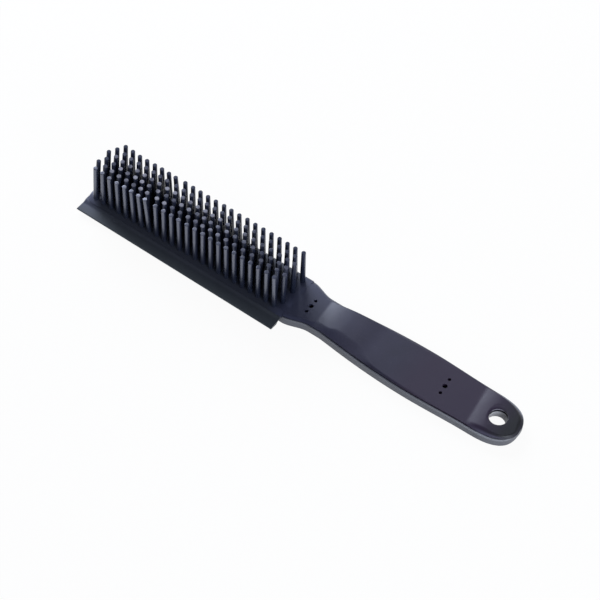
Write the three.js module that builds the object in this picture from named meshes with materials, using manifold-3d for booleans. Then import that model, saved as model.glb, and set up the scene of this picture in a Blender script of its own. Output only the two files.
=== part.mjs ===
// Pet hair removal brush: a bed of soft rubber tines and a squeegee lip on a stiff-cored handle.
// Millimetres, +Z up. The brush lies on its back, tines up, with its handle along +X.
// Stations run along the brush from the free end of the head to the end of the handle.
import * as THREE from 'three';
import { mergeVertices } from 'three/addons/utils/BufferGeometryUtils.js';
import Module from 'manifold-3d';

// Lengths along the brush
const HEAD_LENGTH = 127;
const HANDLE_LENGTH = 133;
const HEAD_CORNER = 2;
const NECK_LENGTH = 14;
const WAIST_LENGTH = 7;
const WAIST_TO_GRIP = 54;
const TAIL_ROUND = 22;
const TAIL_TIP = 0.11;

// Widths across the brush
const HEAD_EDGE = 1.65;
const WAIST_WIDTH = 21;
const GRIP_WIDTH = 28.5;
const TAIL_WIDTH = 26.4;

// Heights: the back shell, its rim along the handle, and the rubber that sits inside and over the rim
const SHELL_HEIGHT = 4.9;
const SHELL_CHAMFER = 0.4;
const RIM_WIDTH = 0.8;
const COVER_SINK = 1;
const RUBBER_OVER_RIM = 1.1;
const COVER_RIM = 0.4;
const COVER_CHAMFER = 0.4;
const FIT_GAP = 0.3;

// Side profile of the grip: two creases, each followed by a short rise
const CREASE_FROM_HEAD = 15.3;
const GRIP_RISE = 2;
const GRIP_RISE_LENGTH = 17;
const GRIP_FALL = 2;
const TAIL_CREASE_FROM_END = 24.9;
const TAIL_RISE = 0.9;
const TAIL_RISE_LENGTH = 9;

// Cross section of the grip: a low number crowns it, a high one keeps it flat
const NECK_CROWN = 8;
const GRIP_CROWN = 3;
const TAIL_CROWN = 6;

// Hanging hole, lined by the back shell and ringed by the core
const HOLE_DIAMETER = 9.6;
const HOLE_RIM_DIAMETER = 12.4;
const HOLE_RIM_DEPTH = 0.7;
const HOLE_FROM_END = 11.8;
const HOLE_LINER = 1.2;

// Locating-pin holes: a wide one between two narrow ones, at the neck and near the tail
const PIN_HOLE_DIAMETER = 2.6;
const PIN_SIDE_DIAMETER = 1.8;
const NECK_PINS_FROM_HEAD = 8.4;
const NECK_PIN_SPACING = 3.9;
const TAIL_PINS_FROM_END = 43.2;
const TAIL_PIN_SPACING = 4.6;

// Stiff core and the rubber keys that lock it in the shell
const CORE_THICKNESS = 2.8;
const CORE_EDGE = 3.4;
const KEY_DIAMETER = 5;
const KEY_PITCH = 22;
const KEY_FROM_END = 13;

// Tines: rows staggered by half a pitch
const TINE_ROWS = 6;
const TINE_PITCH = 5;
const ROW_PITCH = 4.2;
const ROWS_OFF_CENTRE = 0.3;
const TINE_HEIGHT = 23;
const TINE_BASE_DIAMETER = 2.9;
const TINE_TIP_DIAMETER = 2.3;
const TINE_TIP_ROUND = 0.3;
const TINE_SINK = 0.8;
const TINE_FROM_FREE_END = 2.5;
const TINE_FROM_NECK = 4;
const TINE_SIDES = 8;

// The soft tines lean, in degrees for each row: a little in, apart along one ragged line, then in a wave
const ROW_LEANS = [0.3, 1.9, 1.3, 2, 2.2, 2];
const PARTING_COLUMNS = [8.5, 8, 7.5, 7, 8, 9];
const PARTING_LEANS = [6, 6.5, 4.5, 2.2, 4, 6];
const WAVE_LEANS = [0, 2.7, 3.7, 3, 1.5, 0.5];
const WAVE_START = 13;
const WAVE_COLUMNS = 13;
const FREE_END_SIDE_LEAN = 4;
const FREE_END_COLUMNS = 3;

// Squeegee blade, which bends about its round root in a groove along the shell
const BLADE_FROM_NECK = 0.7;
const BLADE_REACH_AT_FREE_END = 6.1;
const BLADE_REACH_AT_NECK = 7.5;
const BLADE_ROOT_THICKNESS = 2.2;
const BLADE_EDGE_THICKNESS = 0.8;
const BLADE_AXIS_OUT = 0.3;
const GROOVE_LIP = 0.4;

// Slope of the pad's near edge, down to the blade
const PAD_SLOPE_WIDTH = 2.5;
const PAD_SLOPE_HEIGHT = 1.3;

// Smoothness of curves
const ROUND_SIDES = 32;
const PIN_SIDES = 16;
const ROOT_STEPS = 8;
const CORNER_STEPS = 4;
const NECK_STEPS = 6;
const RISE_STEPS = 6;
const GRIP_STEPS = 9;
const TAIL_RISE_STEPS = 3;
const TAIL_STEPS = 9;
const CROWN_SHARES = [0.97, 0.9, 0.78, 0.6, 0.35, 0, -0.35, -0.6, -0.78, -0.9, -0.97];
const TAIL_POWER = 2.6;
const SWELL_POWER = 0.6;

// Sizes that follow from the ones above
const OVERALL_LENGTH = HEAD_LENGTH + HANDLE_LENGTH;
const ROWS_HALF = (TINE_ROWS - 1) / 2 * ROW_PITCH;
const HEAD_HALF = ROWS_HALF + ROWS_OFF_CENTRE + TINE_BASE_DIAMETER / 2 + HEAD_EDGE;
const SHELF_HEIGHT = SHELL_HEIGHT - COVER_SINK;
const COVER_BOTTOM = SHELF_HEIGHT + FIT_GAP;
const PAD_TOP = SHELL_HEIGHT + RUBBER_OVER_RIM;
const COVER_EDGE = SHELL_HEIGHT + COVER_RIM;
const COVER_INSET = RIM_WIDTH + FIT_GAP;
const WAIST_START = HEAD_LENGTH + NECK_LENGTH;
const WAIST_END = WAIST_START + WAIST_LENGTH;
const GRIP_STATION = WAIST_END + WAIST_TO_GRIP;
const TAIL_START = OVERALL_LENGTH - TAIL_ROUND;
const CREASE_STATION = HEAD_LENGTH + CREASE_FROM_HEAD;
const TAIL_CREASE_STATION = OVERALL_LENGTH - TAIL_CREASE_FROM_END;
const HOLE_STATION = OVERALL_LENGTH - HOLE_FROM_END;
const LINER_RADIUS = HOLE_DIAMETER / 2 + HOLE_LINER;
const CORE_EYE_RADIUS = LINER_RADIUS + FIT_GAP;
const CORE_BOTTOM = SHELF_HEIGHT - CORE_THICKNESS;
const GROOVE_RADIUS = BLADE_ROOT_THICKNESS / 2 + FIT_GAP;
const BLADE_AXIS_Y = -(HEAD_HALF + BLADE_AXIS_OUT);
const BLADE_AXIS_Z = SHELF_HEIGHT - GROOVE_LIP - GROOVE_RADIUS;
const CUT_PAST = 1;

const wasm = await Module();
wasm.setup();

// Dark satin rubber, a little bluish
function blackRubber() {
  return new THREE.MeshStandardMaterial({ color: 0x2b2b34, roughness: 0.55, metalness: 0 });
}

// Greyer rubber of the back and the side walls
function greyRubber() {
  return new THREE.MeshStandardMaterial({ color: 0x5e5f62, roughness: 0.6, metalness: 0 });
}

// Softer rubber of the tines, paler where it catches the light
function tineRubber() {
  return new THREE.MeshStandardMaterial({ color: 0x34343c, roughness: 0.48, metalness: 0 });
}

// Grey filled plastic of the hidden core
function corePlastic() {
  return new THREE.MeshStandardMaterial({ color: 0x6a6c70, roughness: 0.7, metalness: 0 });
}

// A closed three.js geometry as a solid that can be joined and cut
function toSolid(geometry) {
  const bare = geometry.clone();
  bare.deleteAttribute('normal');
  bare.deleteAttribute('uv');
  const merged = mergeVertices(bare, 1e-4);
  const corners = merged.index.array;
  const kept = [];
  for (let i = 0; i < corners.length; i += 3) {
    const [a, b, c] = corners.slice(i, i + 3);
    if (a !== b && b !== c && c !== a) kept.push(a, b, c);
  }
  const vertProperties = new Float32Array(merged.attributes.position.array);
  const triVerts = new Uint32Array(kept);
  return new wasm.Manifold(new wasm.Mesh({ numProp: 3, vertProperties, triVerts }));
}

// A joined or cut solid as a three.js geometry
function toGeometry(solid) {
  const mesh = solid.getMesh();
  const geometry = new THREE.BufferGeometry();
  geometry.setAttribute('position', new THREE.BufferAttribute(mesh.vertProperties, 3));
  geometry.setIndex(new THREE.BufferAttribute(mesh.triVerts, 1));
  geometry.computeVertexNormals();
  return geometry;
}

function smooth(share) {
  const u = THREE.MathUtils.clamp(share, 0, 1);
  return u * u * (3 - 2 * u);
}

// Quick at first, then level
function easeOut(share) {
  const u = THREE.MathUtils.clamp(share, 0, 1);
  return 1 - (1 - u) * (1 - u);
}

function stationsBetween(from, to, steps) {
  return Array.from({ length: steps }, (_, i) => from + (to - from) * i / steps);
}

// How far round the tail a station is: 0 where the rounding starts, almost 1 at the tip
function tailShare(station, inset) {
  const share = (station - TAIL_START) / (TAIL_ROUND - inset + TAIL_TIP);
  return THREE.MathUtils.clamp(share, 0, 1);
}

// Half the width of the brush at a station, drawn in by an inset
function halfWidth(station, inset = 0) {
  const waist = WAIST_WIDTH / 2;
  const grip = GRIP_WIDTH / 2;
  const tail = TAIL_WIDTH / 2;
  if (station <= WAIST_END) {
    const share = (station - HEAD_LENGTH) / NECK_LENGTH;
    return THREE.MathUtils.lerp(HEAD_HALF, waist, smooth(share)) - inset;
  }
  if (station <= GRIP_STATION) {
    const share = (station - WAIST_END) / WAIST_TO_GRIP;
    return THREE.MathUtils.lerp(waist, grip, smooth(share ** SWELL_POWER)) - inset;
  }
  const share = (station - GRIP_STATION) / (TAIL_START - GRIP_STATION);
  const side = THREE.MathUtils.lerp(grip, tail, smooth(share)) - inset;
  return side * (1 - tailShare(station, inset) ** TAIL_POWER) ** (1 / TAIL_POWER);
}

// Stations that follow the handle's curves, with one on each crease
function handleStations(from, inset) {
  const tailEnd = OVERALL_LENGTH - inset;
  const roundTail = Array.from({ length: TAIL_STEPS }, (_, i) => {
    const angle = Math.PI / 2 * (i + 1) / TAIL_STEPS;
    return TAIL_START + (tailEnd - TAIL_START) * Math.sin(angle);
  });
  const marks = [
    ...stationsBetween(from, CREASE_STATION, NECK_STEPS),
    ...stationsBetween(CREASE_STATION, CREASE_STATION + GRIP_RISE_LENGTH, RISE_STEPS),
    ...stationsBetween(CREASE_STATION + GRIP_RISE_LENGTH, TAIL_CREASE_STATION, GRIP_STEPS),
    ...stationsBetween(TAIL_CREASE_STATION, TAIL_START, TAIL_RISE_STEPS),
    TAIL_START,
  ];
  const inOrder = marks.filter((station) => station <= TAIL_START).sort((a, b) => a - b);
  return [...inOrder, ...roundTail];
}

// Outline of the whole brush seen from above, drawn in by an inset
function outline(inset) {
  const half = HEAD_HALF - inset;
  const side = [];
  for (let i = 0; i <= CORNER_STEPS; i += 1) {
    const angle = Math.PI / 2 * i / CORNER_STEPS;
    const along = inset + HEAD_CORNER * (1 - Math.sin(angle));
    side.push(new THREE.Vector2(along, half - HEAD_CORNER * (1 - Math.cos(angle))));
  }
  side.reverse();
  for (const station of handleStations(HEAD_LENGTH, inset)) {
    side.push(new THREE.Vector2(station, halfWidth(station, inset)));
  }
  const mirrored = side.map((point) => new THREE.Vector2(point.x, -point.y));
  return [...mirrored, ...side.reverse()];
}

function circle(station, y, radius) {
  return new THREE.Path().absarc(station, y, radius, 0, Math.PI * 2, true);
}

// An upright prism of a plan outline, with chamfered edges where asked
function prism(shape, bottom, top, chamfer = 0) {
  const geometry = new THREE.ExtrudeGeometry(shape, {
    depth: top - bottom - 2 * chamfer,
    bevelEnabled: chamfer > 0,
    bevelThickness: chamfer,
    bevelSize: chamfer,
    bevelOffset: -chamfer,
    bevelSegments: 1,
    curveSegments: ROUND_SIDES / 2,
  });
  return geometry.translate(0, 0, bottom + chamfer);
}

// A section in Y and Z, drawn out along the brush
function alongBrush(section, from, to) {
  const shape = new THREE.Shape(section);
  const geometry = new THREE.ExtrudeGeometry(shape, { depth: to - from, bevelEnabled: false });
  const axes = [new THREE.Vector3(0, 1, 0), new THREE.Vector3(0, 0, 1), new THREE.Vector3(1, 0, 0)];
  return geometry.applyMatrix4(new THREE.Matrix4().makeBasis(...axes)).translate(from, 0, 0);
}

// An upright turned shape, from [radius, height] pairs that start and end on the axis
function turned(profile, sides) {
  const points = profile.map(([radius, height]) => new THREE.Vector2(radius, height));
  return new THREE.LatheGeometry(points, sides).rotateX(Math.PI / 2);
}

function drill(diameter, bottom, top, station, y, sides) {
  const radius = diameter / 2;
  const profile = [[0, bottom], [radius, bottom], [radius, top], [0, top]];
  return toSolid(turned(profile, sides).translate(station, y, 0));
}

// A skin over rings of equal length, closed at both ends
function loft(rings) {
  const size = rings[0].length;
  const index = [];
  for (let r = 0; r + 1 < rings.length; r += 1) {
    for (let i = 0; i < size; i += 1) {
      const a = r * size + i;
      const b = r * size + (i + 1) % size;
      index.push(a, b, b + size, a, b + size, a + size);
    }
  }
  const flat = (ring) => ring.map((point) => new THREE.Vector2(point.y, point.z));
  const last = (rings.length - 1) * size;
  for (const [a, b, c] of THREE.ShapeUtils.triangulateShape(flat(rings[0]), [])) index.push(c, b, a);
  for (const [a, b, c] of THREE.ShapeUtils.triangulateShape(flat(rings.at(-1)), [])) {
    index.push(last + a, last + b, last + c);
  }
  const geometry = new THREE.BufferGeometry().setFromPoints(rings.flat());
  return geometry.setIndex(index);
}

// Plan of the core, with its eye and key holes; grown, it is the plan of the pocket
function coreShape(grow) {
  const shape = new THREE.Shape(outline(CORE_EDGE - grow));
  shape.holes.push(circle(HOLE_STATION, 0, CORE_EYE_RADIUS - grow));
  for (let station = KEY_FROM_END; station <= HEAD_LENGTH - KEY_FROM_END; station += KEY_PITCH) {
    shape.holes.push(circle(station, 0, KEY_DIAMETER / 2 - grow));
  }
  return shape;
}

// Section of the groove that the blade's round root turns in
function grooveSection(radius) {
  return Array.from({ length: ROUND_SIDES }, (_, i) => {
    const angle = Math.PI * 2 * i / ROUND_SIDES;
    const y = BLADE_AXIS_Y + radius * Math.cos(angle);
    return new THREE.Vector2(y, BLADE_AXIS_Z + radius * Math.sin(angle));
  });
}

// Plan of the shelf inside the rim, around the liner of the hanging hole
function shelfShape() {
  const shape = new THREE.Shape(outline(RIM_WIDTH));
  shape.holes.push(circle(HOLE_STATION, 0, LINER_RADIUS));
  return shape;
}

// The space above the shelf under the whole head, which has no rim
function headClearance() {
  const side = HEAD_HALF + CUT_PAST;
  const top = SHELL_HEIGHT + CUT_PAST;
  const section = [[-side, SHELF_HEIGHT], [side, SHELF_HEIGHT], [side, top], [-side, top]];
  const points = section.map(([y, z]) => new THREE.Vector2(y, z));
  return toSolid(alongBrush(points, -CUT_PAST, HEAD_LENGTH + FIT_GAP));
}

// Lower rubber half: the back, the rimmed side walls, the pocket for the core and the blade's groove
function backShell() {
  const top = SHELL_HEIGHT + CUT_PAST;
  const cuts = [
    toSolid(prism(shelfShape(), SHELF_HEIGHT, top)),
    headClearance(),
    toSolid(prism(coreShape(FIT_GAP), CORE_BOTTOM - FIT_GAP, top)),
    toSolid(alongBrush(grooveSection(GROOVE_RADIUS), -CUT_PAST, HEAD_LENGTH)),
    drill(HOLE_DIAMETER, -CUT_PAST, top, HOLE_STATION, 0, ROUND_SIDES),
  ];
  const block = toSolid(prism(new THREE.Shape(outline(0)), 0, SHELL_HEIGHT, SHELL_CHAMFER));
  return toGeometry(cuts.reduce((shell, cut) => shell.subtract(cut), block));
}

// Stiff plate that runs from the head to an eye around the hanging hole
function coreSpine() {
  return prism(coreShape(0), CORE_BOTTOM, SHELF_HEIGHT);
}

// Height of the grip's middle line
function gripTop(station) {
  const riseEnd = CREASE_STATION + GRIP_RISE_LENGTH;
  const rise = GRIP_RISE * easeOut((station - CREASE_STATION) / GRIP_RISE_LENGTH);
  const fall = GRIP_FALL * smooth((station - riseEnd) / (TAIL_CREASE_STATION - riseEnd));
  const tailRise = TAIL_RISE * easeOut((station - TAIL_CREASE_STATION) / TAIL_RISE_LENGTH);
  return PAD_TOP + rise - fall + tailRise;
}

function gripCrown(station) {
  const onRise = smooth((station - CREASE_STATION) / (GRIP_RISE_LENGTH / 2));
  const onTail = smooth((station - CREASE_STATION) / (TAIL_CREASE_STATION - CREASE_STATION));
  const crown = THREE.MathUtils.lerp(NECK_CROWN, GRIP_CROWN, onRise);
  return THREE.MathUtils.lerp(crown, TAIL_CROWN, onTail);
}

// One cross section of the grip cover: flat below, upright inside the rim, and a crowned top
function coverRing(station) {
  const half = halfWidth(station, COVER_INSET);
  const tail = tailShare(station, COVER_INSET) ** TAIL_POWER;
  const top = CROWN_SHARES.map((share) => {
    const out = (tail + Math.abs(share) ** TAIL_POWER * (1 - tail)) ** (1 / TAIL_POWER);
    const height = COVER_EDGE + (gripTop(station) - COVER_EDGE) * (1 - out ** gripCrown(station));
    return [half * share, height];
  });
  const chamfer = Math.min(COVER_CHAMFER, half / 2);
  const rim = COVER_BOTTOM + COVER_CHAMFER;
  const ring = [
    [-half + chamfer, COVER_BOTTOM], [half - chamfer, COVER_BOTTOM], [half, rim], [half, COVER_EDGE],
    ...top, [-half, COVER_EDGE], [-half, rim],
  ];
  return ring.map(([y, z]) => new THREE.Vector3(station, y, z));
}

// The three holes of one group, cut down to the core
function pinHoles(station, spacing, top) {
  const bottom = COVER_BOTTOM - CUT_PAST;
  return [
    drill(PIN_HOLE_DIAMETER, bottom, top, station, 0, PIN_SIDES),
    drill(PIN_SIDE_DIAMETER, bottom, top, station, spacing, PIN_SIDES),
    drill(PIN_SIDE_DIAMETER, bottom, top, station, -spacing, PIN_SIDES),
  ];
}

// Upper rubber half of the handle, with its pin holes and the mouth of the hanging hole over its liner
function gripCover() {
  const rings = handleStations(HEAD_LENGTH + FIT_GAP, COVER_INSET).map(coverRing);
  const holeTop = gripTop(HOLE_STATION);
  const past = holeTop + GRIP_RISE + CUT_PAST;
  const throat = HOLE_DIAMETER / 2;
  const rim = HOLE_RIM_DIAMETER / 2;
  const overLiner = SHELL_HEIGHT + FIT_GAP;
  const mouth = [
    [0, COVER_BOTTOM - CUT_PAST], [CORE_EYE_RADIUS, COVER_BOTTOM - CUT_PAST], [CORE_EYE_RADIUS, overLiner],
    [throat, overLiner], [throat, holeTop - HOLE_RIM_DEPTH], [rim, holeTop], [rim, past], [0, past],
  ];
  const cuts = [
    toSolid(turned(mouth, ROUND_SIDES).translate(HOLE_STATION, 0, 0)),
    ...pinHoles(HEAD_LENGTH + NECK_PINS_FROM_HEAD, NECK_PIN_SPACING, past),
    ...pinHoles(OVERALL_LENGTH - TAIL_PINS_FROM_END, TAIL_PIN_SPACING, past),
  ];
  return toGeometry(cuts.reduce((cover, cut) => cover.subtract(cut), toSolid(loft(rings))));
}

// Lean of a tine along the brush, in degrees, from its row and its column counted in pitches
function tineLean(row, column) {
  const of = (values) => values[row % values.length];
  const parting = of(PARTING_COLUMNS);
  if (column > parting) {
    const wave = Math.max(0, column - WAVE_START) / WAVE_COLUMNS;
    return -of(WAVE_LEANS) * Math.sin(Math.PI * 2 * wave);
  }
  return of(ROW_LEANS) - of(PARTING_LEANS) * (column / parting) ** 3;
}

// Lean of a tine across the brush, in degrees: only the first columns have one
function tineSideLean(column) {
  return FREE_END_SIDE_LEAN * Math.max(0, 1 - column / FREE_END_COLUMNS);
}

function tine(row, station, y) {
  const base = TINE_BASE_DIAMETER / 2;
  const tip = TINE_TIP_DIAMETER / 2;
  const profile = [
    [0, -TINE_SINK], [base, -TINE_SINK], [tip, TINE_HEIGHT - TINE_TIP_ROUND],
    [tip - TINE_TIP_ROUND, TINE_HEIGHT], [0, TINE_HEIGHT],
  ];
  const column = station / TINE_PITCH;
  const lean = THREE.MathUtils.degToRad(tineLean(row, column));
  const sideLean = THREE.MathUtils.degToRad(tineSideLean(column));
  return turned(profile, TINE_SIDES).rotateY(lean).rotateX(-sideLean).translate(station, y, PAD_TOP);
}

// Plan of the head's rubber pad
function padShape() {
  const end = HEAD_LENGTH;
  const square = [new THREE.Vector2(end, HEAD_HALF), new THREE.Vector2(end, -HEAD_HALF)];
  const corner = outline(0).filter((point) => point.x <= HEAD_CORNER);
  const near = corner.filter((point) => point.y < 0);
  const far = corner.filter((point) => point.y > 0);
  return new THREE.Shape([...near, square[1], square[0], ...far]);
}

// The wedge that is left out along the pad's near edge
function padSlope() {
  const side = -HEAD_HALF - CUT_PAST;
  const top = PAD_TOP + CUT_PAST;
  const fall = PAD_SLOPE_HEIGHT / PAD_SLOPE_WIDTH;
  const inner = -HEAD_HALF + PAD_SLOPE_WIDTH;
  const section = [[side, PAD_TOP - fall * (inner - side)], [inner + CUT_PAST / fall, top], [side, top]];
  const points = section.map(([y, z]) => new THREE.Vector2(y, z));
  return toSolid(alongBrush(points, -CUT_PAST, HEAD_LENGTH + CUT_PAST));
}

// Rubber pad with its rows of tines; the far corner of the free end has none
function tinePad() {
  let pad = toSolid(prism(padShape(), COVER_BOTTOM, PAD_TOP, COVER_CHAMFER)).subtract(padSlope());
  for (let row = 0; row < TINE_ROWS; row += 1) {
    const y = row * ROW_PITCH - ROWS_HALF - ROWS_OFF_CENTRE;
    const stagger = row % 2 === 0 ? TINE_PITCH / 2 : 0;
    const skipped = row === TINE_ROWS - 1 ? TINE_PITCH : 0;
    const first = TINE_FROM_FREE_END + stagger + skipped;
    for (let station = first; station <= HEAD_LENGTH - TINE_FROM_NECK; station += TINE_PITCH) {
      pad = pad.add(toSolid(tine(row, station, y)));
    }
  }
  return toGeometry(pad);
}

// Section of the blade at one station: a round root that tapers to the edge
function bladeRing(station, reach) {
  const root = BLADE_ROOT_THICKNESS / 2;
  const edge = BLADE_EDGE_THICKNESS / 2;
  const ring = [new THREE.Vector3(station, BLADE_AXIS_Y - reach, BLADE_AXIS_Z - edge)];
  for (let i = 0; i <= ROOT_STEPS; i += 1) {
    const angle = Math.PI * (i / ROOT_STEPS - 0.5);
    const y = BLADE_AXIS_Y + root * Math.cos(angle);
    ring.push(new THREE.Vector3(station, y, BLADE_AXIS_Z + root * Math.sin(angle)));
  }
  ring.push(new THREE.Vector3(station, BLADE_AXIS_Y - reach, BLADE_AXIS_Z + edge));
  return ring;
}

// Thin lip along the near side of the head, a little wider at the neck
function squeegeeBlade() {
  const freeEnd = bladeRing(FIT_GAP, BLADE_REACH_AT_FREE_END);
  const neckEnd = bladeRing(HEAD_LENGTH - BLADE_FROM_NECK, BLADE_REACH_AT_NECK);
  return loft([freeEnd, neckEnd]);
}

function named(name, geometry, material) {
  const mesh = new THREE.Mesh(geometry, material);
  mesh.name = name;
  return mesh;
}

// The origin is on the back, on the centre line, halfway along the brush
const brush = new THREE.Group();
brush.position.x = -OVERALL_LENGTH / 2;
brush.add(
  named('back_shell', backShell(), greyRubber()),
  named('core_spine', coreSpine(), corePlastic()),
  named('grip_cover', gripCover(), blackRubber()),
  named('tine_pad', tinePad(), tineRubber()),
  named('squeegee_blade', squeegeeBlade(), blackRubber()),
);

const group = new THREE.Group();
group.add(brush);

export default group;
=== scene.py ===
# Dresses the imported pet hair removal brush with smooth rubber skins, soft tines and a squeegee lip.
import math
import random

import bmesh
import bpy
from mathutils import Matrix, Vector


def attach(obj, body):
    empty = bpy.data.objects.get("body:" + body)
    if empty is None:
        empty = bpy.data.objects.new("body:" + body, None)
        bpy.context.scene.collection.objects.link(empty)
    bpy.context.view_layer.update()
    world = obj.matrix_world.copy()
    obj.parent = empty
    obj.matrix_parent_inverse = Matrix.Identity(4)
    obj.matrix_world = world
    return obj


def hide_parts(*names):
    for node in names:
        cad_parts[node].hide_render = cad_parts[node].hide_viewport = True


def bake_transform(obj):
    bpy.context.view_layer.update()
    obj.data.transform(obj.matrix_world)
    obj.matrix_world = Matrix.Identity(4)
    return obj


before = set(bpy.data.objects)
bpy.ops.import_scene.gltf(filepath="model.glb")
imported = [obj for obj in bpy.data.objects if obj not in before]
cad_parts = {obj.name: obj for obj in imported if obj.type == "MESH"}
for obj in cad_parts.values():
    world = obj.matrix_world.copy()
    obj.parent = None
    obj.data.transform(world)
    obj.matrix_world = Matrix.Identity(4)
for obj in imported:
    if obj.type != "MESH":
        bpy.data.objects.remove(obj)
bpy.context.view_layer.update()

MM = 0.001
rng = random.Random(7)

# Lengths along the brush, in millimetres from the free end of the head
HEAD_LENGTH = 127.0
OVERALL_LENGTH = 260.0
HEAD_CORNER = 2.0
NECK_LENGTH = 14.0
WAIST_LENGTH = 7.0
WAIST_TO_GRIP = 54.0
TAIL_ROUND = 22.0
TAIL_TIP = 0.03
TAIL_POWER = 2.75
SWELL_POWER = 0.6
TAIL_START = OVERALL_LENGTH - TAIL_ROUND
WAIST_START = HEAD_LENGTH + NECK_LENGTH
WAIST_END = WAIST_START + WAIST_LENGTH
GRIP_STATION = WAIST_END + WAIST_TO_GRIP

# Half widths
HEAD_HALF = 13.9
WAIST_HALF = 10.5
GRIP_HALF = 14.25
TAIL_HALF = 13.2

# Heights, rims and gaps
SHELL_HEIGHT = 4.85
SHELF_HEIGHT = 3.9
SHELL_WALL_HEIGHTS = (2.0, 3.0, SHELF_HEIGHT)
PAD_TOP = 6.0
COVER_BOTTOM = 4.2
PAD_EDGE = 5.3
RIM_WIDTH = 0.72
SEAM_GAP = 0.14
FIT_GAP = 0.3
COVER_INSET = RIM_WIDTH + SEAM_GAP
FOOT_ROUND = 0.25
LIP_ROUND = 0.2

# Where the pad ends and the cover starts, and where the shell's rim starts, each as a steep step
COVER_START = HEAD_LENGTH + 0.1
RIM_START = HEAD_LENGTH + FIT_GAP
STEP_HALF = 0.02

# Side profile and crown of the grip
CREASE = HEAD_LENGTH + 15.3
GRIP_RISE = 2.15
GRIP_RISE_LENGTH = 17.0
GRIP_EASE = 2.4
GRIP_FALL = 1.8
FALL_START = CREASE + 14.0
FALL_ONSET = 0.08
FALL_POWER = 2.4
DIP_START = CREASE + 21.7
DIP_LENGTH = 12.0
DIP_DEPTH = 0.4
TAIL_CREASE = OVERALL_LENGTH - 24.9
TAIL_RISE = 1.4
TAIL_RISE_LENGTH = 10.5
TAIL_EASE = 1.8
TAIL_FALL = 0.75
TAIL_FALL_START = OVERALL_LENGTH - 16.0
TAIL_FALL_POWER = 1.3
CREASE_SOFT = 0.09
CREASE_SKEW = -0.09
TAIL_CREASE_SKEW = -0.14
TAIL_PIN_SKEW = -0.09

# End of the tail: the cover comes out over the rim there, further on the near side
TAIL_END_START = OVERALL_LENGTH - 10.0
TAIL_COVER_OUT = 1.45
TAIL_OUT_SKEW = 0.1
TAIL_SEAT_GAP = 0.1
TAIL_SEAT = (OVERALL_LENGTH - 14.0, OVERALL_LENGTH - 10.0)

# Upper edge of the cover's side wall, and how far in from it the near flank starts, at stations along the brush
COVER_EDGES = ((127.0, 5.3), (142.0, 5.3), (150.0, 6.0), (170.0, 5.95), (184.0, 5.85), (238.0, 5.85),
               (247.0, 5.0), (260.0, 5.0))
FLANKS = ((127.0, 1.3), (141.0, 1.8), (144.0, 3.8), (150.0, 3.3), (158.0, 5.6), (168.0, 6.0), (184.0, 0.8),
          (231.0, 0.8), (238.0, 2.5), (244.0, 2.5), (257.0, 0.6), (260.0, 0.6))
FAR_FLANK = 1.3
FLANK_POWER = 1.35
TOP_CROWN = 0.12
EDGE_BELOW_TOP = 0.02
END_ROUND = 1.4
PAD_SLOPE_WIDTH = 3.2
PAD_SLOPE_FOOT = 4.5
PAD_FAR_SLOPE_WIDTH = 1.2
PAD_NEAR_CORNER = 4.5

# Holes
HOLE_STATION = OVERALL_LENGTH - 11.8
HOLE_RADIUS = 4.8
HOLE_MOUTH_RADIUS = 6.9
HOLE_MOUTH_DEPTH = 0.38
HOLE_MOUTH_EASE = (0.4, 0.04)
HOLE_GROOVE = 1.1
HOLE_LEAN = (-0.8, -0.55)
SHELL_HOLE_RADIUS = 5.5
SHELL_HOLE_HEIGHTS = (-2.0, 9.0)
LINER_RADIUS = 6.0
LINER_FOOT_ROUND = 0.7
LINER_LIFT = 0.01
LINER_MIDDLE = 2.5
PIN_RADIUS = 1.3
PIN_SIDE_RADIUS = 0.9
PIN_GROUPS = ((HEAD_LENGTH + 8.4, 3.9), (OVERALL_LENGTH - 43.2, 4.6))
CUTTER_FOOT = 2.0
CUTTER_TOP = 12.0

# Tines
TINE_ROWS = 6
TINE_PITCH = 5.0
ROW_PITCH = 4.2
ROWS_OFF_CENTRE = 0.3
TINE_HEIGHT = 23.0
TINE_BASE_RADIUS = 1.45
TINE_TIP_RADIUS = 1.16
TINE_TIP_ROUND = 0.13
TINE_TIP_START = 18.0
TINE_SINK = 0.4
TINE_FIRST_RING = 0.8
TINE_FROM_FREE_END = 2.5
TINE_FROM_NECK = 4.0
ROW_LEANS = (0.3, 1.9, 1.3, 2.0, 2.2, 2.0)
PARTING_COLUMNS = (8.5, 8.0, 7.5, 7.0, 8.0, 9.0)
PARTING_LEANS = (6.0, 6.5, 4.5, 2.2, 4.0, 6.0)
WAVE_LEANS = (0.0, 2.7, 3.7, 3.0, 1.5, 0.5)
WAVE_START = 13.0
WAVE_COLUMNS = 13.0
FREE_END_SIDE_LEAN = 4.0
FREE_END_COLUMNS = 3.0
LEAN_SPREAD = 0.4
TINE_BEND = 0.25

# Squeegee lip, with the rubber web that joins it to the body
LIP_AXIS_Y = -14.2
LIP_AXIS_Z = 2.1
LIP_REACH_AT_FREE_END = 6.1
LIP_REACH_AT_NECK = 7.5
LIP_ROOT_HALF = 1.1
LIP_ROOT_DROP = 0.1
LIP_EDGE_HALF = 0.4
LIP_FROM_NECK = 0.7
LIP_END = HEAD_LENGTH - LIP_FROM_NECK
LIP_FIRST_STATIONS = [0.02, 0.6]
LIP_BODY_START = 1.4
LIP_NECK_EASE = 4.0
LIP_FREE_END_EASE = 6.0
LIP_ROOT_PULL = 1.5
LIP_PULL_WIDTH = 3.0
LIP_EDGE_PAST = 0.6
LIP_FILLET = 1.8
LIP_FILLET_START = (0.5, 0.2)
LIP_WEB = 5.0
LIP_WEB_TOP = 4.3
LIP_WEB_SHOULDER = ((2.0, 0.02), (0.8, 0.12))
LIP_WEB_SEAT = SHELF_HEIGHT + 0.02
LIP_WEB_FOOT = 0.1

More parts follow.
